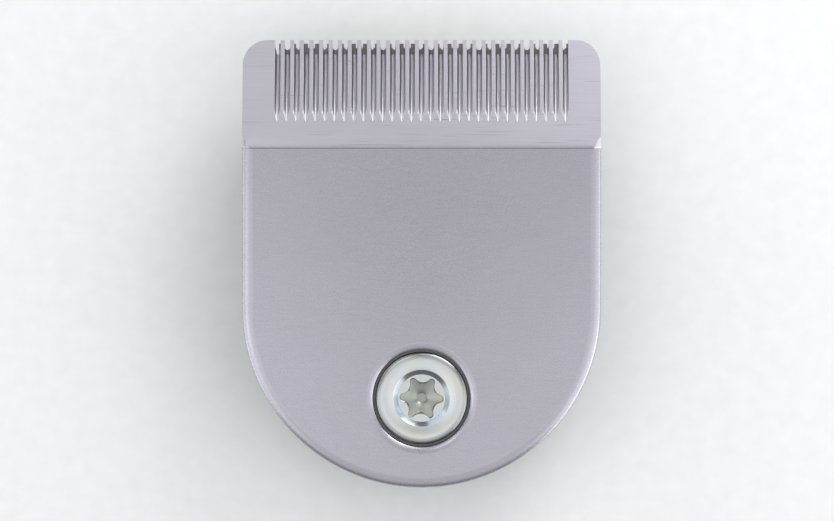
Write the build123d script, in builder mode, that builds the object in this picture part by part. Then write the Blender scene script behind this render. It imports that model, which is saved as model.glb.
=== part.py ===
from build123d import *
from math import asin, atan2, cos, hypot, radians, sin, sqrt, tan
import os

os.makedirs("parts", exist_ok=True)

# Hair trimmer blade set, in millimetres. +X is to the right as seen on the face plate,
# +Y points to the tooth tips and +Z out of the face plate. The set lies on the rear rim of its base.

# Face plate
blade_width = 32.0
blade_length = 40.0
plate_thickness = 3.0
front_corner_radius = 2.2
rim_width = 0.65
rim_drop = 0.26

# Ground comb along the front edge
tip_thickness = 0.4
band_length = 9.77
band_step = 0.08
band_step_run = 0.08
band_crest_radius = 1.1
slot_count = 31
slot_pitch = 0.858
slot_width = 0.5
slot_length = 7.35
slot_open_length = 1.25
slot_floor_width = 0.14
slot_wheel_radius = 26.0

# Fixing screw
screw_setback = 8.0
head_diameter = 8.2
head_height = 2.1
head_edge_chamfer = 0.4
head_recess = 0.1
head_clearance = 0.28
seat_chamfer = 0.42
shank_diameter = 4.0
shank_clearance = 0.2
thread_clearance = 0.02

# Six-lobe recess in the screw head
lobe_count = 6
lobe_diameter = 3.94
lobe_radius = 0.305
valley_diameter = 2.8
recess_turn = -3.0
recess_depth = 1.2
recess_rim_diameter = 5.07
recess_rim_depth = 0.42
recess_ledge = 0.14
recess_cone_depth = 0.25
recess_dimple_diameter = 1.1

# Cutter blade
cutter_teeth = 25
cutter_pitch = 1.0725
cutter_tooth_width = 0.44
cutter_gullet_depth = 0.85
cutter_gullet_chamfer = 0.22
cutter_setback = 0.3
cutter_length = 7.7
cutter_thickness = 1.0
cutter_tip_thickness = 0.45
cutter_bevel_length = 3.2
cutter_relief_depth = 0.12
cutter_front_land = 3.4
cutter_rear_land = 1.0
cutter_stroke = 2.4
cutter_park = 0.322

# Cutter driver
flange_width = 19.2
flange_length = 4.1
flange_thickness = 1.0
flange_setback = 0.3
flange_corner_radius = 0.8
tenon_spacing = 12.0
tenon_width = 2.4
tenon_length = 1.6
tenon_clearance = 0.02
fork_width = 8.2
fork_slot_width = 5.0
fork_slot_length = 6.5
fork_slot_corner_radius = 0.8
fork_mouth_chamfer = 0.5
fork_nose_chamfer = 2.0
fork_rim_gap = 1.5
fork_window_gap = 1.5

# Moulded base
base_height = 7.0
base_inset = 1.0
base_corner_radius = 1.2
base_edge_chamfer = 0.3
wall_thickness = 1.8
window_length = 9.0
run_clearance = 0.1
fork_clearance = 0.3
boss_wall = 1.8
boss_rim_gap = 0.8
boss_tip_margin = 0.5
key_spacing = 21.0
key_offset = 3.0
key_width = 2.4
key_length = 4.0
key_height = 1.0
key_clearance = 0.05

# Gussets, snap legs and hook of the base
gusset_angles = (0, -50, -130, 180)
gusset_thickness = 1.0
gusset_reach = 1.2
gusset_rim_gap = 1.5
leg_wall_gap = 1.8
leg_thickness = 1.2
leg_width = 5.0
leg_setback = 4.0
leg_rim_gap = 0.5
barb_depth = 0.8
barb_height = 1.6
hook_width = 5.0
hook_reach = 0.6
hook_height = 1.6
hook_rim_gap = 0.8

# Pressure spring and its clips
leaf_thickness = 0.5
leaf_gap = 0.05
leaf_side_gap = 0.15
leaf_splay = 6.2
leaf_pad_diameter = 2.2
clip_setback = 10.0
clip_width = 2.4
clip_post_thickness = 1.2
clip_lip_thickness = 0.8

# Places worked out from the sizes above
half_width = blade_width / 2
front_y = blade_length / 2
back_y = -front_y
round_y = back_y + half_width
plate_z = base_height
face_z = plate_z + plate_thickness
tip_z = plate_z + tip_thickness
seam_y = front_y - band_length
screw_y = back_y + screw_setback
head_z = face_z - head_recess
seat_z = head_z - head_height
cutter_tip_y = front_y - cutter_setback
cutter_back_y = cutter_tip_y - cutter_length
cutter_z = plate_z - cutter_thickness
cutter_width = (cutter_teeth - 1) * cutter_pitch + cutter_tooth_width
relief_length = cutter_length - cutter_front_land - cutter_rear_land
relief_z = plate_z - cutter_relief_depth
tenon_y = cutter_back_y + cutter_rear_land + relief_length / 2
flange_back_y = cutter_back_y + flange_setback
flange_mid_y = flange_back_y + flange_length / 2
flange_z = cutter_z - flange_thickness
web_thickness = cutter_thickness + flange_thickness
web_z = plate_z - web_thickness
base_front_y = cutter_back_y - run_clearance
inner_inset = base_inset + wall_thickness
window_back_y = base_front_y - window_length
window_width = fork_width + cutter_stroke + 2 * fork_clearance
fork_back_y = window_back_y + fork_window_gap
key_y = round_y + key_offset
boss_radius = shank_diameter / 2 + boss_wall
leaf_width = screw_setback - inner_inset - boss_radius - 2 * leaf_side_gap
leaf_z = web_z - leaf_gap - leaf_thickness


def d_face(height, inset, front, corner):
    """D-shaped face at a height: straight sides, rounded front corners and a half-round back."""
    side = half_width - inset
    with BuildSketch(Plane.XY.offset(height)) as face:
        with BuildLine():
            Polyline((side, round_y), (side, front), (-side, front), (-side, round_y))
            ThreePointArc((-side, round_y), (0, round_y - side), (side, round_y))
        make_face()
        fillet(face.vertices().group_by(Axis.Y)[-1], corner)
    return face.sketch


# Ground band of the comb: a flat slope up from the tips, a round crest, then a small step down to the face
crest_y = seam_y + band_step_run
crest_z = face_z + band_step - band_crest_radius
crest_distance = hypot(front_y - crest_y, crest_z - tip_z)
band_slope = atan2(crest_z - tip_z, front_y - crest_y) + asin(band_crest_radius / crest_distance)
half_slope = band_slope / 2
crest_start = (crest_y + band_crest_radius * sin(band_slope), crest_z + band_crest_radius * cos(band_slope))
crest_mid = (crest_y + band_crest_radius * sin(half_slope), crest_z + band_crest_radius * cos(half_slope))
crest_top = (crest_y, crest_z + band_crest_radius)
seam = (seam_y, face_z)

with BuildPart() as ground_band:
    extrude(d_face(plate_z, 0, front_y, front_corner_radius), amount=plate_thickness + band_step)
    band_top = ground_band.faces().sort_by(Axis.Z)[-1]
    chamfer(band_top.edges(), rim_width, rim_drop, reference=band_top)
    with BuildSketch(Plane.YZ):
        with BuildLine():
            Polyline(crest_top, seam, (seam_y, plate_z), (front_y, plate_z), (front_y, tip_z), crest_start)
            ThreePointArc(crest_start, crest_mid, crest_top)
        make_face()
    extrude(amount=half_width, both=True, mode=Mode.INTERSECT)

# Slot cutter: a thin wheel whose chamfered rim leaves a rising, trough-shaped floor. Its rim passes
# through the place where the slot opens at the plate's back and the place where it runs out of the band
slot_run = slot_length - slot_open_length
slot_rise = tip_thickness + slot_length * tan(band_slope)
slot_chord = hypot(slot_run, slot_rise)
wheel_reach = sqrt(slot_wheel_radius**2 - (slot_chord / 2) ** 2)
wheel_y = front_y - slot_open_length - slot_run / 2 + wheel_reach * slot_rise / slot_chord
wheel_z = plate_z + slot_rise / 2 + wheel_reach * slot_run / slot_chord
wheel_chamfer = (slot_width - slot_floor_width) / 2

with BuildPart() as slot_wheel:
    with BuildSketch(Plane.XZ.offset(-wheel_y)) as wheel_section:
        with Locations((0, wheel_z)):
            Rectangle(slot_width, slot_wheel_radius, align=(Align.CENTER, Align.MAX))
        chamfer(wheel_section.vertices().group_by(Axis.Y)[0], wheel_chamfer)
    revolve(axis=Axis((0, wheel_y, wheel_z), (1, 0, 0)))

with BuildPart() as comb_plate:
    # Flat half-round body with a bevelled rim, joined to the ground band at the seam
    extrude(d_face(plate_z, 0, front_y, front_corner_radius), amount=plate_thickness)
    body_top = comb_plate.faces().sort_by(Axis.Z)[-1]
    chamfer(body_top.edges(), rim_width, rim_drop, reference=body_top)
    with BuildSketch(Plane.XY.offset(plate_z)):
        with Locations((0, seam_y)):
            Rectangle(blade_width, band_length, align=(Align.CENTER, Align.MIN))
    extrude(amount=plate_thickness, mode=Mode.SUBTRACT)
    add(ground_band.part)
    with GridLocations(slot_pitch, 1, slot_count, 1):
        add(slot_wheel.part, mode=Mode.SUBTRACT)
    # Sunk seat for the screw head, chamfered round its edge
    with Locations((0, screw_y, face_z)):
        CounterBoreHole(
            radius=shank_diameter / 2 + shank_clearance,
            counter_bore_radius=head_diameter / 2 + head_clearance,
            counter_bore_depth=head_height + head_recess,
        )
    seat_edges = comb_plate.edges(Select.LAST).filter_by(GeomType.CIRCLE)
    chamfer(seat_edges.sort_by(Axis.Z)[-1], seat_chamfer)
    # Blind pockets in the back for the locating keys
    with BuildSketch(Plane.XY.offset(plate_z)):
        with Locations((0, key_y)):
            with GridLocations(key_spacing, 1, 2, 1):
                Rectangle(key_width + 2 * key_clearance, key_length + 2 * key_clearance)
    extrude(amount=key_height + key_clearance, mode=Mode.SUBTRACT)

comb_plate.part.label = "comb_plate"
export_step(comb_plate.part, "parts/comb_plate.step")

# Six-lobe recess: round lobes joined by tangent hollow arcs
lobe_turn = 360 / lobe_count
half_turn = lobe_turn / 2
lobe_offset = lobe_diameter / 2 - lobe_radius
valley_radius = valley_diameter / 2
lobe_reach = lobe_offset * cos(radians(half_turn))
hollow_radius = (lobe_offset**2 + valley_radius**2 - lobe_radius**2 - 2 * lobe_reach * valley_radius) / (
    2 * (lobe_reach + lobe_radius - valley_radius)
)
lobe_centre = Vector(lobe_offset, 0)
hollow_centre = Vector(valley_radius + hollow_radius, 0).rotate(Axis.Z, half_turn)
lobe_end = lobe_centre + (hollow_centre - lobe_centre) * (lobe_radius / (lobe_radius + hollow_radius))
lobe_start = Vector(lobe_end.X, -lobe_end.Y)
lobe_tip = Vector(lobe_diameter / 2, 0)
valley = Vector(valley_radius, 0).rotate(Axis.Z, half_turn)

boss_z = boss_rim_gap
shank_tip_z = boss_z + boss_tip_margin
screw_axis = Axis((0, screw_y, 0), (0, 0, 1))

with BuildPart() as fixing_screw:
    with BuildSketch(Plane.XZ.offset(-screw_y)):
        with BuildLine():
            Polyline(
                (0, shank_tip_z),
                (shank_diameter / 2, shank_tip_z),
                (shank_diameter / 2, seat_z),
                (head_diameter / 2, seat_z),
                (head_diameter / 2, head_z),
                (0, head_z),
                close=True,
            )
        make_face()
    revolve(axis=screw_axis)
    chamfer(fixing_screw.edges().group_by(Axis.Z)[-1], head_edge_chamfer)
    with BuildSketch(Plane((0, screw_y, head_z))):
        with BuildLine():
            for lobe in range(lobe_count):
                angle = lobe * lobe_turn + recess_turn
                start, tip, end = (point.rotate(Axis.Z, angle) for point in (lobe_start, lobe_tip, lobe_end))
                ThreePointArc(start, tip, end)
                next_start = lobe_start.rotate(Axis.Z, angle + lobe_turn)
                ThreePointArc(end, valley.rotate(Axis.Z, angle), next_start)
        make_face()
    extrude(amount=-recess_depth, mode=Mode.SUBTRACT)
    # Wide countersunk mouth, and a conical floor that ends in a flat
    with Locations((0, screw_y, head_z)):
        Cone(
            bottom_radius=lobe_diameter / 2 + recess_ledge,
            top_radius=recess_rim_diameter / 2,
            height=recess_rim_depth,
            align=(Align.CENTER, Align.CENTER, Align.MAX),
            mode=Mode.SUBTRACT,
        )
    with Locations((0, screw_y, head_z - recess_depth)):
        Cone(
            bottom_radius=recess_dimple_diameter / 2,
            top_radius=valley_radius,
            height=recess_cone_depth,
            align=(Align.CENTER, Align.CENTER, Align.MAX),
            mode=Mode.SUBTRACT,
        )

fixing_screw.part.label = "fixing_screw"
export_step(fixing_screw.part, "parts/fixing_screw.step")

# Moving cutter, parked a little to the right, with its own tooth pitch
with BuildPart() as cutter_blade:
    with BuildSketch(Plane.XY.offset(cutter_z)) as cutter_outline:
        with Locations((cutter_park, cutter_tip_y)):
            Rectangle(cutter_width, cutter_length, align=(Align.CENTER, Align.MAX))
            with GridLocations(cutter_pitch, 1, cutter_teeth - 1, 1):
                Rectangle(
                    cutter_pitch - cutter_tooth_width,
                    cutter_gullet_depth,
                    align=(Align.CENTER, Align.MAX),
                    mode=Mode.SUBTRACT,
                )
        chamfer(cutter_outline.vertices().group_by(Axis.Y)[1], cutter_gullet_chamfer)
    extrude(amount=cutter_thickness)
    # Bevel behind the tips
    with BuildSketch(Plane.YZ):
        with BuildLine():
            Polyline(
                (cutter_tip_y - cutter_bevel_length, cutter_z),
                (cutter_tip_y, cutter_z),
                (cutter_tip_y, plate_z - cutter_tip_thickness),
                close=True,
            )
        make_face()
    extrude(amount=half_width, both=True, mode=Mode.SUBTRACT)
    # Hollow between the shearing land and the rear land
    with BuildSketch(Plane.XY.offset(plate_z)):
        with Locations((cutter_park, cutter_back_y + cutter_rear_land)):
            Rectangle(cutter_width, relief_length, align=(Align.CENTER, Align.MIN))
    extrude(amount=-cutter_relief_depth, mode=Mode.SUBTRACT)
    # Windows for the driver's tenons
    with BuildSketch(Plane.XY.offset(plate_z)):
        with Locations((cutter_park, tenon_y)):
            with GridLocations(tenon_spacing, 1, 2, 1):
                Rectangle(tenon_width + 2 * tenon_clearance, tenon_length + 2 * tenon_clearance)
    extrude(amount=-cutter_thickness, mode=Mode.SUBTRACT)

cutter_blade.part.label = "cutter_blade"
export_step(cutter_blade.part, "parts/cutter_blade.step")

# Moulded driver: a flange staked under the cutter, and a fork that takes the drive cam from behind
with BuildPart() as cutter_driver:
    with BuildSketch(Plane.XY.offset(flange_z)):
        with Locations((cutter_park, flange_mid_y)):
            RectangleRounded(flange_width, flange_length, flange_corner_radius)
    extrude(amount=flange_thickness)
    with BuildSketch(Plane.XY.offset(fork_rim_gap)) as fork:
        with Locations((cutter_park, fork_back_y)):
            Rectangle(fork_width, flange_mid_y - fork_back_y, align=(Align.CENTER, Align.MIN))
            Rectangle(
                fork_slot_width,
                fork_slot_length,
                align=(Align.CENTER, Align.MIN),
                mode=Mode.SUBTRACT,
            )
        fillet(fork.vertices().group_by(Axis.Y)[1], fork_slot_corner_radius)
        chamfer(fork.vertices().group_by(Axis.Y)[0], fork_mouth_chamfer)
    extrude(amount=cutter_z - fork_rim_gap)
    # Sloped nose under the flange
    with BuildSketch(Plane.YZ):
        with BuildLine():
            Polyline(
                (flange_mid_y, fork_rim_gap),
                (flange_mid_y - fork_nose_chamfer, fork_rim_gap),
                (flange_mid_y, fork_rim_gap + fork_nose_chamfer),
                close=True,
            )
        make_face()
    extrude(amount=half_width, both=True, mode=Mode.SUBTRACT)
    # Tenons that are staked into the cutter, flush with its hollow
    with BuildSketch(Plane.XY.offset(cutter_z)):
        with Locations((cutter_park, tenon_y)):
            with GridLocations(tenon_spacing, 1, 2, 1):
                Rectangle(tenon_width, tenon_length)
    extrude(amount=relief_z - cutter_z)

cutter_driver.part.label = "cutter_driver"
export_step(cutter_driver.part, "parts/cutter_driver.step")

# Leaf spring: a stamped hairpin round the screw boss, with pads under the driver's flange
bend_radius = boss_radius + leaf_side_gap + leaf_width / 2
splay = radians(leaf_splay)
arm_start_y = screw_y - bend_radius * sin(splay)
arm_length = (flange_mid_y - arm_start_y) / cos(splay)

with BuildPart() as pressure_spring:
    with BuildSketch(Plane.XY.offset(leaf_z)) as leaf:
        with BuildLine() as middle:
            bend = CenterArc((0, screw_y), bend_radius, -90, 90 - leaf_splay)
            arm = PolarLine(bend @ 1, arm_length, 90 - leaf_splay)
        trace(line_width=leaf_width)
        with Locations(arm @ 1):
            Circle(leaf_pad_diameter / 2)
        mirror(about=Plane.YZ)
    extrude(amount=leaf_thickness)

pressure_spring.part.label = "pressure_spring"
export_step(pressure_spring.part, "parts/pressure_spring.step")

# Moulded base: a web behind the plate, a skirt round it, and what holds the other pieces
clip_y = base_front_y - clip_setback
clip_leaf_x = bend_radius * cos(splay) + tan(splay) * (clip_y - arm_start_y)
clip_lip_x = clip_leaf_x - leaf_width / 2
clip_post_x = clip_leaf_x + leaf_width / 2 / cos(splay) + tan(splay) * clip_width / 2 + leaf_gap
clip_top_z = leaf_z - leaf_gap
clip_z = clip_top_z - clip_lip_thickness
inner_radius = half_width - inner_inset
leg_x = inner_radius - leg_wall_gap
leg_y = base_front_y - leg_setback
wall_back_y = back_y + base_inset

with BuildPart() as blade_base:
    extrude(d_face(web_z, base_inset, base_front_y, base_corner_radius), amount=web_thickness)
    with BuildSketch():
        add(d_face(0, base_inset, base_front_y, base_corner_radius))
        add(
            d_face(0, inner_inset, base_front_y + base_corner_radius, base_corner_radius),
            mode=Mode.SUBTRACT,
        )
    extrude(amount=web_z)
    outer_rim = blade_base.edges().group_by(Axis.Z)[0].filter_by(GeomType.CIRCLE).sort_by(SortBy.LENGTH)[-1]
    chamfer(outer_rim, base_edge_chamfer)
    # Window for the fork's travel
    with BuildSketch(Plane.XY.offset(web_z)):
        with Locations((0, window_back_y)):
            Rectangle(window_width, window_length, align=(Align.CENTER, Align.MIN))
    extrude(amount=web_thickness, mode=Mode.SUBTRACT)
    # Boss that the screw bites into
    with BuildSketch(Plane.XY.offset(boss_z)):
        with Locations((0, screw_y)):
            Circle(boss_radius)
    extrude(amount=web_z - boss_z)
    with Locations((0, screw_y, plate_z)):
        Hole(shank_diameter / 2 + thread_clearance)
    # Keys that locate the plate
    with BuildSketch(Plane.XY.offset(plate_z)):
        with Locations((0, key_y)):
            with GridLocations(key_spacing, 1, 2, 1):
                Rectangle(key_width, key_length)
    extrude(amount=key_height)
    # Gussets between the skirt and the web
    for angle in gusset_angles:
        outward = Vector(1, 0).rotate(Axis.Z, angle)
        across = Vector(0, -1).rotate(Axis.Z, angle)
        with BuildSketch(Plane(origin=(0, round_y, 0), x_dir=outward, z_dir=across)):
            with BuildLine():
                Polyline(
                    (inner_radius - gusset_reach, web_z),
                    (inner_radius, gusset_rim_gap),
                    (inner_radius + wall_thickness / 2, gusset_rim_gap),
                    (inner_radius + wall_thickness / 2, web_z),
                    close=True,
                )
            make_face()
        extrude(amount=gusset_thickness / 2, both=True)
    # Snap legs with outward barbs
    with BuildSketch(Plane.XZ.offset(-leg_y)):
        with BuildLine():
            Polyline(
                (leg_x - leg_thickness, web_z),
                (leg_x - leg_thickness, leg_rim_gap),
                (leg_x, leg_rim_gap),
                (leg_x + barb_depth, leg_rim_gap + barb_height / 2),
                (leg_x + barb_depth, leg_rim_gap + barb_height),
                (leg_x, leg_rim_gap + barb_height),
                (leg_x, web_z),
                close=True,
            )
        make_face()
        mirror(about=Plane.YZ)
    extrude(amount=leg_width)
    # Clips that hold the spring's arms up
    with BuildSketch(Plane.XZ.offset(-clip_y)):
        with BuildLine():
            Polyline(
                (clip_post_x + clip_post_thickness, web_z),
                (clip_post_x + clip_post_thickness, clip_z),
                (clip_lip_x, clip_z),
                (clip_lip_x, clip_top_z),
                (clip_post_x, clip_top_z),
                (clip_post_x, web_z),
                close=True,
            )
        make_face()
        mirror(about=Plane.YZ)
    extrude(amount=clip_width / 2, both=True)
    # Hook at the round end
    with BuildSketch(Plane.YZ):
        with BuildLine():
            Polyline(
                (wall_back_y + wall_thickness, hook_rim_gap),
                (wall_back_y, hook_rim_gap),
                (wall_back_y - hook_reach, hook_rim_gap + hook_reach),
                (wall_back_y - hook_reach, hook_rim_gap + hook_height),
                (wall_back_y + wall_thickness, hook_rim_gap + hook_height),
                close=True,
            )
        make_face()
    extrude(amount=hook_width / 2, both=True)

blade_base.part.label = "blade_base"
export_step(blade_base.part, "parts/blade_base.step")
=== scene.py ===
"""Finishes a hair trimmer blade set: steel comb plate, sliding cutter, zinc-plated screw, moulded base.

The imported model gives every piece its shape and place. Here each piece gets broken edges and the
finish that its making leaves: ground, blasted, plated, rolled or moulded.
"""

import math

import bmesh
import bpy
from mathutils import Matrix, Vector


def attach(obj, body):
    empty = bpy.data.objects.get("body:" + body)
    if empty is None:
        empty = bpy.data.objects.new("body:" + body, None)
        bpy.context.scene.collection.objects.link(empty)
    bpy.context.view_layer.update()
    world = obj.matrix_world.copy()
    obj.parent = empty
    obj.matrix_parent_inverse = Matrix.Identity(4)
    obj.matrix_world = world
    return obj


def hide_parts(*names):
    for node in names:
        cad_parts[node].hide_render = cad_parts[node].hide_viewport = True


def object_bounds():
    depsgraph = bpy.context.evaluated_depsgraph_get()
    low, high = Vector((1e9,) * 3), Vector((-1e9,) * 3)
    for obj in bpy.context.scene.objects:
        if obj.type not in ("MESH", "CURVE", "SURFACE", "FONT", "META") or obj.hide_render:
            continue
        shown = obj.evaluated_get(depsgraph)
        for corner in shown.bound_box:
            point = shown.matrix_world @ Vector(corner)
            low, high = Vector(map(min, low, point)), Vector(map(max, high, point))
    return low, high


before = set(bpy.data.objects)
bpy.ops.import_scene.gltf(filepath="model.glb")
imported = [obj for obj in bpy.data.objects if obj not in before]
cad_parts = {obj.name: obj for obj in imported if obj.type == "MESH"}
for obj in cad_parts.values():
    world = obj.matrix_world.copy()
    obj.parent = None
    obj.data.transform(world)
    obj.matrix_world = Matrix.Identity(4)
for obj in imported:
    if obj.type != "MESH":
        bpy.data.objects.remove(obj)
cad_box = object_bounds()

MM = 0.001

# The photograph's frame, and the view straight down on the face plate
IMAGE_WIDTH = 834
PIXELS_PER_MM = 11.23
CAMERA_DISTANCE = 450 * MM
CAMERA_CLIP = 0.01
SENSOR_WIDTH = 36.0
VIEW_CENTRE = (-0.41 * MM, 0.265 * MM)

# Places on the comb plate
FACE_HEIGHT = 10.0 * MM
SEAM = 10.23 * MM
SLOT_END = 12.65 * MM
SLOT_FIELD = 13.2 * MM
RUN_OUT_ROOM = 0.1 * MM
SLOT_PITCH = 0.858 * MM
FLOOR_HALF = 0.07 * MM
FLOOR_GROWTH = 0.035 * MM
FLOOR_NARROW = 1.2 * MM
TIPS = 20.0 * MM
SEAT_RADIUS = 4.38 * MM
SEAT_TOP = FACE_HEIGHT - 0.3 * MM
MOUTH_ROOM = 0.5 * MM
MOUTH_LIFT = 0.27 * MM
RIM_WIDTH = 0.65 * MM
RIM_DROP = 0.26 * MM
RIM_TILT = math.degrees(math.atan2(RIM_DROP, RIM_WIDTH))

# Floors of the cutter's gullets, and how much nearer the tips they show in the photograph
GULLETS = (18.8 * MM, 19.2 * MM)
GULLET_RISE = 0.3 * MM

# The screw, and the six-lobe recess in its head
SCREW_SIDES = 180
SCREW_Y = -12.0 * MM
HEAD_RADIUS = 4.1 * MM
HEAD_TOP = 9.9 * MM
HEAD_SEAT = 7.8 * MM
HEAD_DISH = 0.03 * MM
HEAD_ROUND = 0.58 * MM
HEAD_ROUND_STEPS = 8
HEAD_ROUND_FALL = 0.28 * MM
SHANK_RADIUS = 2.0 * MM
SHANK_TIP = 1.3 * MM
MOUTH_RADIUS = 2.535 * MM
MOUTH_DEPTH = 0.42 * MM
LEDGE_RADIUS = 2.11 * MM
LOBES = 6
RECESS_TURN = math.radians(-3)
LOBE_REACH = 1.97 * MM
LOBE_RADIUS = 0.305 * MM
VALLEY_REACH = 1.4 * MM
RECESS_DEPTH = 1.2 * MM
FLOOR_FALL = 0.25 * MM
WALL_DRAFT = 0.09 * MM
DIMPLE_RADIUS = 0.55 * MM
DIMPLE_WALL = 0.14 * MM
DIMPLE_DEPTH = 0.09 * MM
FLOOR_RINGS = (1.28 * MM, 0.95 * MM, DIMPLE_RADIUS)

# Rounds on the comb plate: width and number of steps
OUTSIDE_RIM_ROUND = (0.20 * MM, 5)
INSIDE_RIM_ROUND = (0.33 * MM, 5)
MOUTH_ROUND = (0.22 * MM, 6)
SEAM_ROUND = (0.05 * MM, 3)
FLOOR_ROUND = (0.066 * MM, 4)
HOLLOW_ROUND = (0.10 * MM, 3)
TOOTH_ROUND = (0.035 * MM, 3)

# Broken edges of the pieces: width and number of steps
PLATE_BREAK = (0.02 * MM, 2)
SCREW_BREAK = (0.025 * MM, 2)
CUTTER_BREAK = (0.025 * MM, 2)
DRIVER_BREAK = (0.15 * MM, 3)
SPRING_BREAK = (0.06 * MM, 2)
BASE_BREAK = (0.12 * MM, 3)

# Corners in degrees: sharper ones are broken, blunter ones are shaded smooth
BROKEN_CORNER = 35
SCREW_BROKEN_CORNER = 24
PLATE_SMOOTH = 24
SCREW_SMOOTH = 20
PLAIN_SMOOTH = 30
FLAT_FACE_WEIGHT = 75

# Limits for telling faces and edges apart
CLOSE = 0.01 * MM
MERGE_DISTANCE = 0.0005 * MM
QUAD_BEND = math.radians(8)
ANY_SHAPE = math.radians(180)
BAND_CORNER = math.radians(8)
MOUTH_CORNER = math.radians(15)
HOLLOW_CORNER = math.radians(30)
SAME_PLANE = 0.9995
LEVEL = 0.9
FACES_UP = 0.5
FACES_DOWN = -0.5
NOT_UNDER = -0.1
TILT_ROOM = 1.0
RIM_TILT_ROOM = 1.5
UPRIGHT_TILT = 90

# A noise's usual range, which MapRange spreads over the range that a finish needs
NOISE_SPAN = {"From Min": 0.3, "From Max": 0.7}
# A wave texture of scale 1 repeats at this length
WAVE_PERIOD = 2 * math.pi / 20


def to_linear(colour):
    """Turns an sRGB hex colour such as "C9C7D0" into linear red, green, blue and alpha."""
    parts = [int(colour[place:place + 2], 16) / 255 for place in (0, 2, 4)]
    return [part / 12.92 if part <= 0.04045 else ((part + 0.055) / 1.055) ** 2.4 for part in parts] + [1.0]


def per_grain(*sizes):
    """Scales that give a pattern grains of these sizes in millimetres along X, Y and Z."""
    return [1 / (size * MM) for size in sizes]


def fill_inputs(tree, node, inputs):
    """Sets each input of a node to a value, or links it to an output socket."""
    for name, value in inputs.items():
        if isinstance(value, bpy.types.NodeSocket):
            tree.links.new(value, node.inputs[name])
        else:
            node.inputs[name].default_value = value


def add_node(tree, kind, inputs, output=0, **settings):
    """Adds a shader node with its settings and links, and returns one of its outputs.

    A colour Mix has its factor at input 0, its colours at 6 and 7, and its result at output 2.
    """
    node = tree.nodes.new("ShaderNode" + kind)
    for name, value in settings.items():
        setattr(node, name, value)
    fill_inputs(tree, node, inputs)
    return node.outputs[output]


def new_material(name):
    """Starts a material and returns it with its node tree, its shader and its Object coordinates."""
    material = bpy.data.materials.new(name)
    material.use_nodes = True
    tree = material.node_tree
    shader = tree.nodes["Principled BSDF"]
    place = add_node(tree, "TexCoord", {}, "Object")
    return material, tree, shader, place


def blasted_stainless():
    """Hardened stainless steel, fine bead blasted: an even lilac-grey satin with faint rolling streaks."""
    material, tree, shader, place = new_material("stainless_steel_bead_blasted")
    # Real pits are a few hundredths of a millimetre wide. They are drawn coarser, so that they show.
    pit_place = add_node(tree, "Mapping", {"Vector": place, "Scale": per_grain(0.16, 0.13, 0.16)})
    pits = add_node(tree, "TexNoise", {"Vector": pit_place, "Scale": 1.0, "Detail": 2.0})
    streak_place = add_node(tree, "Mapping", {"Vector": place, "Scale": per_grain(1.3, 0.12, 1.3)})
    streaks = add_node(tree, "TexNoise", {"Vector": streak_place, "Scale": 1.0, "Detail": 3.0})
    cloud_place = add_node(tree, "Mapping", {"Vector": place, "Scale": per_grain(9, 6, 9)})
    cloud = add_node(tree, "TexNoise", {"Vector": cloud_place, "Scale": 1.0, "Detail": 1.0})
    clouding = add_node(tree, "MapRange", {"Value": cloud, **NOISE_SPAN, "To Min": 0.3, "To Max": 0.7})
    tone = add_node(tree, "Mix", {0: clouding, 6: to_linear("BAB8C2"), 7: to_linear("C0BEC9")}, 2,
                    data_type="RGBA")
    pitting = add_node(tree, "MapRange", {"Value": pits, **NOISE_SPAN, "To Min": 0.0, "To Max": 0.08})
    speckled = add_node(tree, "Mix", {0: pitting, 6: tone, 7: to_linear("A9A7B1")}, 2, data_type="RGBA")
    streaking = add_node(tree, "MapRange", {"Value": streaks, **NOISE_SPAN, "To Min": 0.0, "To Max": 0.30})
    streaked = add_node(tree, "Mix", {0: streaking, 6: speckled, 7: to_linear("CAC8D2")}, 2, data_type="RGBA")
    roughness = add_node(tree, "MapRange", {"Value": pits, **NOISE_SPAN, "To Min": 0.25, "To Max": 0.30})
    pitted = add_node(tree, "Bump", {"Height": pits, "Distance": 0.0003 * MM, "Strength": 1.0})
    normal = add_node(tree, "Bump", {"Height": streaks, "Distance": 0.0005 * MM, "Strength": 1.0,
                                     "Normal": pitted})
    fill_inputs(tree, shader, {"Base Color": streaked, "Metallic": 1.0, "Roughness": roughness, "Normal": normal})
    return material


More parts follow.
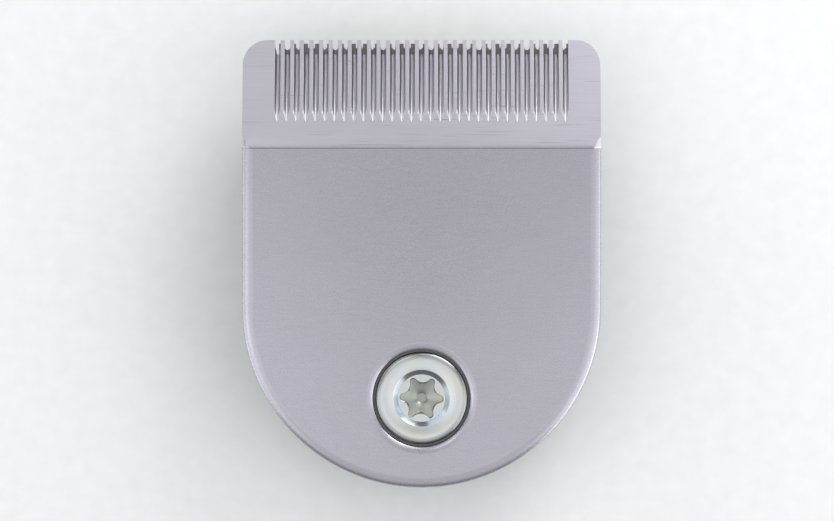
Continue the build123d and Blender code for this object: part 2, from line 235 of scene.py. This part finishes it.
def ground_stainless():
    """The same steel cross-ground after hardening: brighter, with fine grinding lines along the edge."""
    material, tree, shader, place = new_material("stainless_steel_cross_ground")
    # Real grinding lines are about 0.01 mm wide. They are drawn coarser, so that they show.
    line_place = add_node(tree, "Mapping", {"Vector": place, "Scale": per_grain(6, 0.10, 0.10)})
    lines = add_node(tree, "TexNoise", {"Vector": line_place, "Scale": 1.0, "Detail": 3.0})
    scratch_place = add_node(tree, "Mapping", {"Vector": place, "Scale": per_grain(1.8, 0.07, 0.07)})
    scratches = add_node(tree, "TexNoise", {"Vector": scratch_place, "Scale": 1.0, "Detail": 2.0})
    stray_place = add_node(tree, "Mapping", {"Vector": place, "Scale": per_grain(4.5, 0.08, 0.08)})
    strays = add_node(tree, "TexNoise", {"Vector": stray_place, "Scale": 1.0, "Detail": 0.0})
    cloud_place = add_node(tree, "Mapping", {"Vector": place, "Scale": per_grain(7, 3, 7)})
    cloud = add_node(tree, "TexNoise", {"Vector": cloud_place, "Scale": 1.0, "Detail": 1.0})
    clouding = add_node(tree, "MapRange", {"Value": cloud, **NOISE_SPAN, "To Min": 0.3, "To Max": 0.7})
    tone = add_node(tree, "Mix", {0: clouding, 6: to_linear("C2C0CA"), 7: to_linear("C8C6CF")}, 2,
                    data_type="RGBA")
    lining = add_node(tree, "MapRange", {"Value": lines, **NOISE_SPAN, "To Min": 0.0, "To Max": 0.3})
    lined = add_node(tree, "Mix", {0: lining, 6: tone, 7: to_linear("B2AFBB")}, 2, data_type="RGBA")
    # Only the noise's peaks become stray scratches
    scoring = add_node(tree, "MapRange", {"Value": strays, "From Min": 0.74, "From Max": 0.86})
    scored = add_node(tree, "Mix", {0: scoring, 6: lined, 7: to_linear("96939E")}, 2, data_type="RGBA")
    roughness = add_node(tree, "MapRange", {"Value": scratches, **NOISE_SPAN, "To Min": 0.30, "To Max": 0.38})
    scratched = add_node(tree, "Bump", {"Height": scratches, "Distance": 0.0003 * MM, "Strength": 1.0})
    normal = add_node(tree, "Bump", {"Height": lines, "Distance": 0.0005 * MM, "Strength": 1.0,
                                     "Normal": scratched})
    fill_inputs(tree, shader, {"Base Color": scored, "Metallic": 1.0, "Roughness": roughness, "Normal": normal})
    return material


def slot_stainless():
    """The same steel in the slots: a grinding wheel's fine lines run along each slot."""
    material, tree, shader, place = new_material("stainless_steel_slot_ground")
    # Real wheel lines are about 0.01 mm wide. They are drawn coarser, so that a slot holds a few of them.
    line_place = add_node(tree, "Mapping", {"Vector": place, "Scale": per_grain(0.05, 3, 3)})
    lines = add_node(tree, "TexNoise", {"Vector": line_place, "Scale": 1.0, "Detail": 2.0})
    lining = add_node(tree, "MapRange", {"Value": lines, **NOISE_SPAN, "To Min": 0.0, "To Max": 1.0})
    tone = add_node(tree, "Mix", {0: lining, 6: to_linear("B0AEB5"), 7: to_linear("BCBAC1")}, 2, data_type="RGBA")
    roughness = add_node(tree, "MapRange", {"Value": lines, **NOISE_SPAN, "To Min": 0.33, "To Max": 0.40})
    normal = add_node(tree, "Bump", {"Height": lines, "Distance": 0.0003 * MM, "Strength": 1.0})
    fill_inputs(tree, shader, {"Base Color": tone, "Metallic": 1.0, "Roughness": roughness, "Normal": normal})
    return material


def seat_stainless():
    """The same steel in the screw's sunk seat: bored and left dull, with turning rings 0.06 mm apart."""
    material, tree, shader, place = new_material("stainless_steel_bored")
    from_axis = add_node(tree, "Mapping", {"Vector": place, "Location": (0.0, -SCREW_Y, 0.0)})
    ring_scale = WAVE_PERIOD / (0.0592 * MM)
    rings = add_node(tree, "TexWave", {"Vector": from_axis, "Scale": ring_scale, "Distortion": 0.6}, 1,
                     wave_type="RINGS", rings_direction="Z")
    tone = add_node(tree, "Mix", {0: rings, 6: to_linear("A3A1A6"), 7: to_linear("B1AFB4")}, 2, data_type="RGBA")
    fill_inputs(tree, shader, {"Base Color": tone, "Metallic": 1.0, "Roughness": 0.42})
    return material


def ground_cutter_steel():
    """Carbon steel, surface ground: darker than the comb, with lines along the stroke."""
    material, tree, shader, place = new_material("carbon_steel_surface_ground")
    # Real grinding lines are about 0.01 mm wide. They are drawn coarser, so that they show.
    line_place = add_node(tree, "Mapping", {"Vector": place, "Scale": per_grain(5, 0.09, 0.09)})
    lines = add_node(tree, "TexNoise", {"Vector": line_place, "Scale": 1.0, "Detail": 3.0})
    cloud_place = add_node(tree, "Mapping", {"Vector": place, "Scale": per_grain(4, 3, 4)})
    cloud = add_node(tree, "TexNoise", {"Vector": cloud_place, "Scale": 1.0, "Detail": 2.0})
    clouding = add_node(tree, "MapRange", {"Value": cloud, **NOISE_SPAN, "To Min": 0.0, "To Max": 1.0})
    tone = add_node(tree, "Mix", {0: clouding, 6: to_linear("777475"), 7: to_linear("878384")}, 2,
                    data_type="RGBA")
    roughness = add_node(tree, "MapRange", {"Value": lines, **NOISE_SPAN, "To Min": 0.30, "To Max": 0.42})
    normal = add_node(tree, "Bump", {"Height": lines, "Distance": 0.0008 * MM, "Strength": 1.0})
    fill_inputs(tree, shader, {"Base Color": tone, "Metallic": 1.0, "Roughness": roughness, "Normal": normal})
    return material


def zinc_plate(place_name, first, second, dullness):
    """Zinc plate with a blue passivation, rougher in hollows; painted shade darkens it to grey towards the head's
    rim.
    """
    material, tree, shader, place = new_material("zinc_plate_blue_passivated_" + place_name)
    cloud_place = add_node(tree, "Mapping", {"Vector": place, "Scale": per_grain(2.4, 2.4, 2.4)})
    cloud = add_node(tree, "TexNoise", {"Vector": cloud_place, "Scale": 1.0, "Detail": 1.0})
    # Real crystals are under 0.01 mm wide. They are drawn coarser, so that they show.
    crystal_place = add_node(tree, "Mapping", {"Vector": place, "Scale": per_grain(0.07, 0.07, 0.07)})
    crystals = add_node(tree, "TexNoise", {"Vector": crystal_place, "Scale": 1.0, "Detail": 2.0})
    clouding = add_node(tree, "MapRange", {"Value": cloud, **NOISE_SPAN, "To Min": 0.0, "To Max": 1.0})
    plated = add_node(tree, "Mix", {0: clouding, 6: to_linear(first), 7: to_linear(second)}, 2, data_type="RGBA")
    # Painted shade: from where the head's edge starts to round out to its rim, the colour darkens to 747778.
    from_axis = add_node(tree, "Mapping", {"Vector": place, "Location": (0.0, -SCREW_Y, 0.0), "Scale": (1, 1, 0)})
    reach = add_node(tree, "VectorMath", {0: from_axis}, 1, operation="LENGTH")
    painted_rim_shade = add_node(tree, "MapRange", {"Value": reach, "From Min": HEAD_RADIUS - HEAD_ROUND,
                                          "From Max": HEAD_RADIUS})
    tone = add_node(tree, "Mix", {0: painted_rim_shade, 6: plated, 7: to_linear("747778")}, 2, data_type="RGBA")
    roughness = add_node(tree, "MapRange", {"Value": crystals, **NOISE_SPAN, "To Min": dullness - 0.04,
                                            "To Max": dullness + 0.04})
    normal = add_node(tree, "Bump", {"Height": crystals, "Distance": 0.0006 * MM, "Strength": 1.0})
    fill_inputs(tree, shader, {"Base Color": tone, "Metallic": 1.0, "Roughness": roughness, "Normal": normal})
    return material


def rolled_spring_steel():
    """Cold-rolled spring strip: grey, faintly brown, with rolling lines along its length."""
    material, tree, shader, place = new_material("spring_steel_cold_rolled")
    # Real rolling lines are about 0.01 mm wide. They are drawn coarser, so that they show.
    line_place = add_node(tree, "Mapping", {"Vector": place, "Scale": per_grain(0.06, 4, 0.06)})
    lines = add_node(tree, "TexNoise", {"Vector": line_place, "Scale": 1.0, "Detail": 2.0})
    cloud_place = add_node(tree, "Mapping", {"Vector": place, "Scale": per_grain(3, 5, 3)})
    cloud = add_node(tree, "TexNoise", {"Vector": cloud_place, "Scale": 1.0, "Detail": 2.0})
    clouding = add_node(tree, "MapRange", {"Value": cloud, **NOISE_SPAN, "To Min": 0.0, "To Max": 1.0})
    tone = add_node(tree, "Mix", {0: clouding, 6: to_linear("98938E"), 7: to_linear("ABA6A0")}, 2,
                    data_type="RGBA")
    roughness = add_node(tree, "MapRange", {"Value": lines, **NOISE_SPAN, "To Min": 0.24, "To Max": 0.36})
    normal = add_node(tree, "Bump", {"Height": lines, "Distance": 0.0006 * MM, "Strength": 1.0})
    fill_inputs(tree, shader, {"Base Color": tone, "Metallic": 1.0, "Roughness": roughness, "Normal": normal})
    return material


def natural_acetal():
    """Injection-moulded acetal in its natural white: waxy, a little see-through, with flow clouds."""
    material, tree, shader, place = new_material("acetal_moulded_natural")
    cloud_place = add_node(tree, "Mapping", {"Vector": place, "Scale": per_grain(3, 3, 3)})
    cloud = add_node(tree, "TexNoise", {"Vector": cloud_place, "Scale": 1.0, "Detail": 2.0})
    # The tool's real polish marks are about 0.02 mm wide. They are drawn coarser, so that they show.
    skin_place = add_node(tree, "Mapping", {"Vector": place, "Scale": per_grain(0.12, 0.12, 0.12)})
    skin = add_node(tree, "TexNoise", {"Vector": skin_place, "Scale": 1.0, "Detail": 2.0})
    clouding = add_node(tree, "MapRange", {"Value": cloud, **NOISE_SPAN, "To Min": 0.0, "To Max": 1.0})
    tone = add_node(tree, "Mix", {0: clouding, 6: to_linear("DEDBD1"), 7: to_linear("E6E4DB")}, 2,
                    data_type="RGBA")
    roughness = add_node(tree, "MapRange", {"Value": skin, **NOISE_SPAN, "To Min": 0.38, "To Max": 0.48})
    normal = add_node(tree, "Bump", {"Height": skin, "Distance": 0.002 * MM, "Strength": 1.0})
    fill_inputs(tree, shader, {"Base Color": tone, "Roughness": roughness, "Normal": normal, "IOR": 1.48,
                               "Subsurface Weight": 0.15, "Subsurface Scale": 0.5 * MM})
    return material


def black_nylon():
    """Glass-filled nylon moulded in a spark-eroded tool: black with a fine, even, dull grain."""
    material, tree, shader, place = new_material("nylon_moulded_spark_textured")
    # Real spark craters are about 0.05 mm wide. They are drawn coarser, so that they show.
    spark_place = add_node(tree, "Mapping", {"Vector": place, "Scale": per_grain(0.16, 0.16, 0.16)})
    spark = add_node(tree, "TexNoise", {"Vector": spark_place, "Scale": 1.0, "Detail": 3.0})
    cloud_place = add_node(tree, "Mapping", {"Vector": place, "Scale": per_grain(5, 5, 5)})
    cloud = add_node(tree, "TexNoise", {"Vector": cloud_place, "Scale": 1.0, "Detail": 2.0})
    clouding = add_node(tree, "MapRange", {"Value": cloud, **NOISE_SPAN, "To Min": 0.0, "To Max": 1.0})
    tone = add_node(tree, "Mix", {0: clouding, 6: to_linear("1C1C1E"), 7: to_linear("242427")}, 2,
                    data_type="RGBA")
    roughness = add_node(tree, "MapRange", {"Value": spark, **NOISE_SPAN, "To Min": 0.48, "To Max": 0.62})
    normal = add_node(tree, "Bump", {"Height": spark, "Distance": 0.010 * MM, "Strength": 1.0})
    fill_inputs(tree, shader, {"Base Color": tone, "Roughness": roughness, "Normal": normal, "IOR": 1.53})
    return material


def pale_paper():
    """Matt white studio paper with a faint tooth."""
    material, tree, shader, place = new_material("studio_paper_matt")
    # A real paper's tooth is about 0.3 mm wide. It is drawn coarser, so that it shows.
    tooth_place = add_node(tree, "Mapping", {"Vector": place, "Scale": per_grain(1.5, 1.5, 1.5)})
    tooth = add_node(tree, "TexNoise", {"Vector": tooth_place, "Scale": 1.0, "Detail": 3.0})
    toothing = add_node(tree, "MapRange", {"Value": tooth, **NOISE_SPAN, "To Min": 0.0, "To Max": 1.0})
    tone = add_node(tree, "Mix", {0: toothing, 6: to_linear("F2F3F4"), 7: to_linear("F6F7F8")}, 2,
                    data_type="RGBA")
    fill_inputs(tree, shader, {"Base Color": tone, "Roughness": 0.9})
    return material


def merged_copy(node, name):
    """Copies a CAD node's mesh into a new piece, with its loose triangles joined."""
    bpy.ops.object.select_all(action="DESELECT")
    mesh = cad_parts[node].data.copy()
    mesh.name = name
    mesh.materials.clear()
    piece = bpy.data.objects.new(name, mesh)
    bpy.context.scene.collection.objects.link(piece)
    bpy.context.view_layer.objects.active = piece
    piece.select_set(True)
    bpy.ops.object.mode_set(mode="EDIT")
    bpy.ops.mesh.select_all(action="SELECT")
    bpy.ops.mesh.remove_doubles(threshold=MERGE_DISTANCE)
    bpy.ops.mesh.tris_convert_to_quads(face_threshold=QUAD_BEND, shape_threshold=ANY_SHAPE)
    bpy.ops.object.mode_set(mode="OBJECT")
    return piece


def round_edges(piece, width, steps, chosen):
    """Rounds by a small width the edges of a piece that a test chooses."""
    bpy.ops.object.mode_set(mode="EDIT")
    bpy.ops.mesh.select_mode(type="EDGE")
    bpy.ops.mesh.select_all(action="DESELECT")
    mesh = bmesh.from_edit_mesh(piece.data)
    for edge in mesh.edges:
        edge.select = chosen(edge)
    bmesh.update_edit_mesh(piece.data)
    bpy.ops.mesh.bevel(offset=width, segments=steps, affect="EDGES", clamp_overlap=False)
    bpy.ops.object.mode_set(mode="OBJECT")


def break_edges(piece, width, steps, sharper_than=BROKEN_CORNER):
    """Rounds a piece's outward sharp edges by a small width."""
    limit = math.radians(sharper_than)
    round_edges(piece, width, steps, lambda edge: edge.is_convex and edge.calc_face_angle() > limit)


def shade(piece, smoother_than, split=None):
    """Shades round faces smooth and keeps flat ones flat beside them; split names further sharp edges."""
    bpy.ops.object.shade_smooth_by_angle(angle=math.radians(smoother_than))
    if split is not None:
        mesh = bmesh.new()
        mesh.from_mesh(piece.data)
        for edge in mesh.edges:
            if split(edge):
                edge.smooth = False
        mesh.to_mesh(piece.data)
        mesh.free()
    level = piece.modifiers.new("level_faces", "WEIGHTED_NORMAL")
    level.mode = "FACE_AREA_WITH_ANGLE"
    level.weight = FLAT_FACE_WEIGHT
    level.keep_sharp = True
    bpy.ops.object.modifier_apply(modifier=level.name)


def hand_over(piece, node, slot, body, *materials):
    """Gives a piece its materials, puts it in its node's place and lets it move with its body."""
    for material in materials:
        piece.data.materials.append(material)
    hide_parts(node)
    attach(piece, body)


def from_screw(place):
    """How far a place lies from the screw's axis."""
    return math.hypot(place.x, place.y - SCREW_Y)


def among_slots(place):
    """Whether a place lies in the part of the band that holds the slots."""
    return SLOT_END - RUN_OUT_ROOM < place.y < TIPS - CLOSE and abs(place.x) < SLOT_FIELD


def at_seat_mouth(place):
    """Whether a place lies on the chamfered mouth of the screw's seat."""
    return from_screw(place) < SEAT_RADIUS + MOUTH_ROOM and place.z > FACE_HEIGHT - MOUTH_ROOM


def tilt(face):
    """How far a face leans from level, in degrees."""
    return math.degrees(math.acos(max(-1.0, min(1.0, face.normal.z))))


def dress_comb_plate():
    """The blasted plate with its ground band, ground slots and bored seat."""
    piece = merged_copy("comb_plate", "comb_plate_finish")
    above_seam = [face for face in piece.data.polygons if face.center.y > SEAM and face.normal.z > 0]
    band_normal = max(above_seam, key=lambda face: face.area).normal.copy()

    def on_band(face):
        return face.normal.dot(band_normal) > SAME_PLANE

    def leaves_band(edge):
        one_side = sum(on_band(face) for face in edge.link_faces) == 1
        return one_side and edge.calc_face_angle(0.0) > BAND_CORNER

    def outer_mouth(edge):
        ends = [corner.co for corner in edge.verts]
        upper = all(at_seat_mouth(end) and end.z > FACE_HEIGHT - CLOSE for end in ends)
        return upper and edge.is_convex and edge.calc_face_angle() > MOUTH_CORNER

    def flatten_mouth():
        """Lifts the inner edge of the seat's mouth, so that the mouth rolls gently into the bore."""
        for corner in piece.data.vertices:
            on_bore = abs(from_screw(corner.co) - SEAT_RADIUS) < CLOSE
            if on_bore and at_seat_mouth(corner.co):
                corner.co.z += MOUTH_LIFT

    def along_rim(edge, neighbour):
        on_body = all(corner.co.y < SEAM + CLOSE for corner in edge.verts)
        bevels = [face for face in edge.link_faces if abs(tilt(face) - RIM_TILT) < RIM_TILT_ROOM]
        beside = any(neighbour(face) for face in edge.link_faces)
        return on_body and edge.is_convex and len(bevels) == 1 and beside

    def inside_rim(edge):
        return along_rim(edge, lambda face: tilt(face) < TILT_ROOM)

    def outside_rim(edge):
        return along_rim(edge, lambda face: abs(tilt(face) - UPRIGHT_TILT) < TILT_ROOM)

    def tooth_edge(edge):
        ends = [corner.co for corner in edge.verts]
        deep = all(among_slots(end) and end.y > SLOT_END + FLOOR_NARROW for end in ends)
        return deep and leaves_band(edge) and edge.is_convex

    def in_seam(edge):
        on_line = all(abs(corner.co.y - SEAM) < CLOSE / 2 for corner in edge.verts)
        return on_line and not edge.is_convex and edge.calc_face_angle() > HOLLOW_CORNER

    def hollow(edge):
        inward = not edge.is_convex and edge.calc_face_angle() > HOLLOW_CORNER
        return among_slots(edge.verts[0].co) and inward

    def at_floor(edge):
        return hollow(edge) and all(face.normal.z > FACES_UP for face in edge.link_faces)

    def widen_floors():
        """Widens the slots' flat floors away from their run-out, so that their rounded section is fuller."""
        for corner in piece.data.vertices:
            across = corner.co.x - SLOT_PITCH * round(corner.co.x / SLOT_PITCH)
            if among_slots(corner.co) and abs(abs(across) - FLOOR_HALF) < CLOSE / 5:
                share = max(0.0, min(1.0, (corner.co.y - SLOT_END - FLOOR_NARROW) / FLOOR_NARROW))
                corner.co.x += math.copysign(FLOOR_GROWTH * share, across)

    round_edges(piece, *OUTSIDE_RIM_ROUND, outside_rim)
    round_edges(piece, *INSIDE_RIM_ROUND, inside_rim)
    flatten_mouth()
    round_edges(piece, *MOUTH_ROUND, outer_mouth)
    round_edges(piece, *SEAM_ROUND, in_seam)
    widen_floors()
    round_edges(piece, *FLOOR_ROUND, at_floor)
    round_edges(piece, *HOLLOW_ROUND, hollow)
    round_edges(piece, *TOOTH_ROUND, tooth_edge)
    break_edges(piece, *PLATE_BREAK)
    shade(piece, PLATE_SMOOTH, leaves_band)
    finishes = blasted_stainless(), ground_stainless(), slot_stainless(), seat_stainless()
    band, slots, seat = 1, 2, 3
    hand_over(piece, "comb_plate", "ground_steel", "blade_body", *finishes)
    for face in piece.data.polygons:
        if from_screw(face.center) < SEAT_RADIUS + CLOSE and face.center.z < SEAT_TOP:
            face.material_index = seat
        elif among_slots(face.center) and not on_band(face) and face.normal.z > FACES_DOWN:
            face.material_index = slots
        elif face.center.y > SEAM or face.normal.z < FACES_DOWN:
            face.material_index = band


def lobe_outline(angle):
    """Reach of the six-lobe recess at an angle: round lobes joined by hollow arcs that touch them."""
    half_turn = math.pi / LOBES
    lobe_centre = LOBE_REACH - LOBE_RADIUS
    along = lobe_centre * math.cos(half_turn)
    hollow_radius = (lobe_centre ** 2 + VALLEY_REACH ** 2 - LOBE_RADIUS ** 2 - 2 * along * VALLEY_REACH) / (
        2 * (along + LOBE_RADIUS - VALLEY_REACH))
    hollow_centre = VALLEY_REACH + hollow_radius
    share = LOBE_RADIUS / (LOBE_RADIUS + hollow_radius)
    touch_x = lobe_centre + (hollow_centre * math.cos(half_turn) - lobe_centre) * share
    touch_y = hollow_centre * math.sin(half_turn) * share
    from_lobe = (angle + half_turn) % (2 * half_turn) - half_turn
    if abs(from_lobe) < math.atan2(touch_y, touch_x):
        sideways = lobe_centre * math.sin(from_lobe)
        return lobe_centre * math.cos(from_lobe) + math.sqrt(LOBE_RADIUS ** 2 - sideways ** 2)
    from_hollow = half_turn - abs(from_lobe)
    sideways = hollow_centre * math.sin(from_hollow)
    return hollow_centre * math.cos(from_hollow) - math.sqrt(hollow_radius ** 2 - sideways ** 2)


def dress_screw():
    """The pan head screw, turned from a bar: rounded head, countersunk six-lobe recess, plain shank."""
    bpy.ops.object.select_all(action="DESELECT")
    height = HEAD_TOP - HEAD_SEAT
    middle = (0.0, SCREW_Y, HEAD_SEAT + height / 2)
    bpy.ops.mesh.primitive_cylinder_add(
        vertices=SCREW_SIDES, radius=HEAD_RADIUS, depth=height, location=middle)
    piece = bpy.context.object
    piece.name = "fixing_screw_finish"
    bpy.ops.object.transform_apply(location=True)
    bpy.ops.object.mode_set(mode="EDIT")
    mesh = bmesh.from_edit_mesh(piece.data)

    # Shank, drawn out of the underside
    bpy.ops.mesh.select_mode(type="FACE")
    for face in mesh.faces:
        face.select_set(face.normal.z < -LEVEL)
    bpy.ops.mesh.inset(thickness=HEAD_RADIUS - SHANK_RADIUS)
    bpy.ops.mesh.extrude_region_move(TRANSFORM_OT_translate={"value": (0, 0, SHANK_TIP - HEAD_SEAT)})

    # Rounded edge of the head
    bpy.ops.mesh.select_mode(type="EDGE")
    mesh = bmesh.from_edit_mesh(piece.data)
    for edge in mesh.edges:
        edge.select_set(all(abs(corner.co.z - HEAD_TOP) < CLOSE for corner in edge.verts))
    bpy.ops.mesh.bevel(offset=HEAD_ROUND, segments=HEAD_ROUND_STEPS, affect="EDGES")
    mesh = bmesh.from_edit_mesh(piece.data)
    for corner in mesh.verts:
        fall = HEAD_TOP - corner.co.z
        if CLOSE / 10 < fall < HEAD_ROUND + CLOSE:
            corner.co.z = HEAD_TOP - fall * HEAD_ROUND_FALL / HEAD_ROUND
    bmesh.update_edit_mesh(piece.data)

    # Slightly dished top, countersunk mouth and ledge
    bpy.ops.mesh.select_mode(type="FACE")
    mesh = bmesh.from_edit_mesh(piece.data)
    for face in mesh.faces:
        face.select_set(face.normal.z > LEVEL and len(face.verts) == SCREW_SIDES)
    bpy.ops.mesh.inset(thickness=HEAD_RADIUS - HEAD_ROUND - MOUTH_RADIUS, depth=-HEAD_DISH)
    bpy.ops.mesh.inset(thickness=MOUTH_RADIUS - LEDGE_RADIUS, depth=HEAD_DISH - MOUTH_DEPTH)

    # Six-lobe walls and the hollow floor
    bpy.ops.mesh.inset(thickness=LEDGE_RADIUS - LOBE_REACH)
    mesh = bmesh.from_edit_mesh(piece.data)
    for corner in (vertex for vertex in mesh.verts if vertex.select):
        angle = math.atan2(corner.co.y - SCREW_Y, corner.co.x)
        reach = lobe_outline(angle - RECESS_TURN)
        corner.co.x = reach * math.cos(angle)
        corner.co.y = SCREW_Y + reach * math.sin(angle)
    bmesh.update_edit_mesh(piece.data)
    floor_slope = FLOOR_FALL / (VALLEY_REACH - DIMPLE_RADIUS)
    bpy.ops.mesh.extrude_region_move(TRANSFORM_OT_translate={"value": (0, 0, MOUTH_DEPTH - RECESS_DEPTH)})
    mesh = bmesh.from_edit_mesh(piece.data)
    for corner in (vertex for vertex in mesh.verts if vertex.select):
        reach = from_screw(corner.co)
        corner.co.z = HEAD_TOP - RECESS_DEPTH + (reach - VALLEY_REACH) * floor_slope
        corner.co.x *= 1 - WALL_DRAFT / reach
        corner.co.y = SCREW_Y + (corner.co.y - SCREW_Y) * (1 - WALL_DRAFT / reach)
    bmesh.update_edit_mesh(piece.data)
    for radius in FLOOR_RINGS:
        bpy.ops.mesh.extrude_region_move()
        mesh = bmesh.from_edit_mesh(piece.data)
        for corner in (vertex for vertex in mesh.verts if vertex.select):
            angle = math.atan2(corner.co.y - SCREW_Y, corner.co.x)
            corner.co.x = radius * math.cos(angle)
            corner.co.y = SCREW_Y + radius * math.sin(angle)
            corner.co.z = HEAD_TOP - RECESS_DEPTH + (radius - VALLEY_REACH) * floor_slope
        bmesh.update_edit_mesh(piece.data)
    bpy.ops.mesh.inset(thickness=DIMPLE_WALL, depth=-DIMPLE_DEPTH)
    bpy.ops.object.mode_set(mode="OBJECT")
    break_edges(piece, *SCREW_BREAK, SCREW_BROKEN_CORNER)
    shade(piece, SCREW_SMOOTH)
    # The mouth and recess copies get darker tones than the head: painted shade in the hollows. They are also
    # rougher.
    finishes = (zinc_plate("head", "DDE2E6", "E3E3DD", 0.22), zinc_plate("mouth", "98A6B1", "A3ADB2", 0.26),
                zinc_plate("recess", "A3A8A2", "ADB1AA", 0.34))
    mouth, recess = 1, 2
    hand_over(piece, "fixing_screw", "plated_screw", "blade_body", *finishes)
    for face in piece.data.polygons:
        reach = from_screw(face.center)
        if face.center.z > HEAD_TOP - RECESS_DEPTH - 2 * FLOOR_FALL and face.normal.z > NOT_UNDER:
            if LEDGE_RADIUS + 2 * CLOSE < reach < MOUTH_RADIUS - 2 * CLOSE:
                face.material_index = mouth
            elif reach < LEDGE_RADIUS and face.center.z < HEAD_TOP - MOUTH_DEPTH - 2 * CLOSE:
                face.material_index = recess


def dress_cutter():
    """The ground cutter, with the floors of its gullets brought as near the tips as they show."""
    piece = merged_copy("cutter_blade", "cutter_blade_finish")
    for corner in piece.data.vertices:
        if GULLETS[0] < corner.co.y < GULLETS[1]:
            corner.co.y += GULLET_RISE
    break_edges(piece, *CUTTER_BREAK)
    shade(piece, PLAIN_SMOOTH)
    hand_over(piece, "cutter_blade", "cutter_steel", "cutter", ground_cutter_steel())


def dress_driver():
    """The moulded fork that carries the cutter."""
    piece = merged_copy("cutter_driver", "cutter_driver_finish")
    break_edges(piece, *DRIVER_BREAK)
    shade(piece, PLAIN_SMOOTH)
    hand_over(piece, "cutter_driver", "driver_plastic", "cutter", natural_acetal())


def dress_spring():
    """The leaf spring behind the cutter."""
    piece = merged_copy("pressure_spring", "pressure_spring_finish")
    break_edges(piece, *SPRING_BREAK)
    shade(piece, PLAIN_SMOOTH)
    hand_over(piece, "pressure_spring", "spring_steel", "blade_body", rolled_spring_steel())


def dress_base():
    """The moulded base with its hook and snap legs."""
    piece = merged_copy("blade_base", "blade_base_finish")
    break_edges(piece, *BASE_BREAK)
    shade(piece, PLAIN_SMOOTH)
    hand_over(piece, "blade_base", "base_plastic", "blade_body", black_nylon())


FLOOR_SIZE = 4.0


def lay_floor():
    """A plain pale sheet under the part."""
    bpy.ops.object.select_all(action="DESELECT")
    bpy.ops.mesh.primitive_plane_add(size=FLOOR_SIZE, location=(0, 0, cad_box[0][2]))
    floor = bpy.context.object
    floor.name = "floor"
    floor.data.materials.append(pale_paper())


# A light tent round the part. Each panel: name, middle, what it faces, width, height, radiance.
# Radiance 1 shows as white in a mirror. The ceiling leaves a gap in the middle for the camera.
DOWN = (0, 0, -1)
TENT = (
    ("ceiling_left", (-0.155, -0.0175, 0.17), DOWN, 0.09, 0.055, 1.45),
    ("ceiling_mid_left", (-0.061, -0.0175, 0.17), DOWN, 0.098, 0.055, 0.78),
    ("ceiling_middle", (0.0, -0.030, 0.17), DOWN, 0.024, 0.042, 0.56),
    ("ceiling_mid_right", (0.061, -0.0175, 0.17), DOWN, 0.098, 0.055, 0.70),
    ("ceiling_right", (0.155, -0.0175, 0.17), DOWN, 0.09, 0.055, 1.09),
    ("ceiling_dim", (0.0, 0.030, 0.17), DOWN, 0.40, 0.04, 0.33),
    ("ceiling_far_left", (-0.07, 0.095, 0.17), DOWN, 0.10, 0.09, 1.09),
    ("ceiling_far_right", (0.07, 0.095, 0.17), DOWN, 0.10, 0.09, 0.64),
    ("ceiling_front", (0.075, 0.17, 0.17), DOWN, 0.17, 0.06, 1.65),
    ("ceiling_near", (0.0, -0.075, 0.17), DOWN, 0.16, 0.06, 0.42),
    ("ceiling_near_left", (-0.14, -0.0925, 0.17), DOWN, 0.12, 0.095, 0.89),
    ("ceiling_near_right", (0.14, -0.0925, 0.17), DOWN, 0.12, 0.095, 0.96),
    ("ceiling_heel", (0.0, -0.140, 0.17), DOWN, 0.16, 0.07, 0.44),
    ("front", (0.115, 0.185, 0.13), (-0.53, -0.85, 0), 0.13, 0.12, 4.00),
    ("front_right", (0.17, 0.14, 0.035), (-0.77, -0.64, 0), 0.18, 0.07, 1.25),
    ("front_left", (-0.141, 0.169, 0.06), (0.64, -0.77, 0), 0.20, 0.12, 1.60),
    ("right", (0.22, 0.0, 0.13), (-1, 0, 0), 0.14, 0.12, 0.80),
    ("near_right", (0.19, -0.11, 0.095), (-0.87, 0.5, 0), 0.16, 0.15, 1.14),
    ("near_left", (-0.20, -0.09, 0.095), (0.91, 0.41, 0), 0.12, 0.15, 0.52),
    ("card_left", (-0.13, 0.0, 0.05), (1, 0, 0), 0.16, 0.08, 0.92),
    ("card_right", (0.13, -0.035, 0.05), (-1, 0, 0), 0.22, 0.08, 0.87),
)
ROOM_LIGHT = 0.30


def hang_panel(name, middle, facing, width, height, radiance):
    """A rectangular soft light, not seen by the camera itself."""
    lamp = bpy.data.lights.new(name, "AREA")
    lamp.shape = "RECTANGLE"
    lamp.size = width
    lamp.size_y = height
    lamp.energy = radiance * math.pi * width * height
    panel = bpy.data.objects.new(name, lamp)
    bpy.context.scene.collection.objects.link(panel)
    panel.visible_camera = False
    panel.location = middle
    if facing != DOWN:
        panel.rotation_euler = (math.pi / 2, 0.0, math.atan2(facing[1], facing[0]) - math.pi / 2)


def light_studio():
    """The tent's panels, with a dim room behind them."""
    for panel in TENT:
        hang_panel(*panel)
    world = bpy.data.worlds.new("studio_room")
    bpy.context.scene.world = world
    world.use_nodes = True
    room = {"Color": to_linear("FFFFFF"), "Strength": ROOM_LIGHT}
    fill_inputs(world.node_tree, world.node_tree.nodes["Background"], room)


def place_camera():
    """The camera straight above the face plate, at the photograph's scale."""
    camera = bpy.data.cameras.new("camera")
    camera.sensor_width = SENSOR_WIDTH
    camera.lens = SENSOR_WIDTH * CAMERA_DISTANCE / (IMAGE_WIDTH / PIXELS_PER_MM * MM)
    camera.clip_start = CAMERA_CLIP
    stand = bpy.data.objects.new("camera", camera)
    bpy.context.scene.collection.objects.link(stand)
    stand.location = (*VIEW_CENTRE, FACE_HEIGHT + CAMERA_DISTANCE)
    bpy.context.scene.camera = stand


dress_comb_plate()
dress_screw()
dress_cutter()
dress_driver()
dress_spring()
dress_base()
lay_floor()
light_studio()
place_camera()
bpy.context.scene.view_settings.view_transform = "Standard"
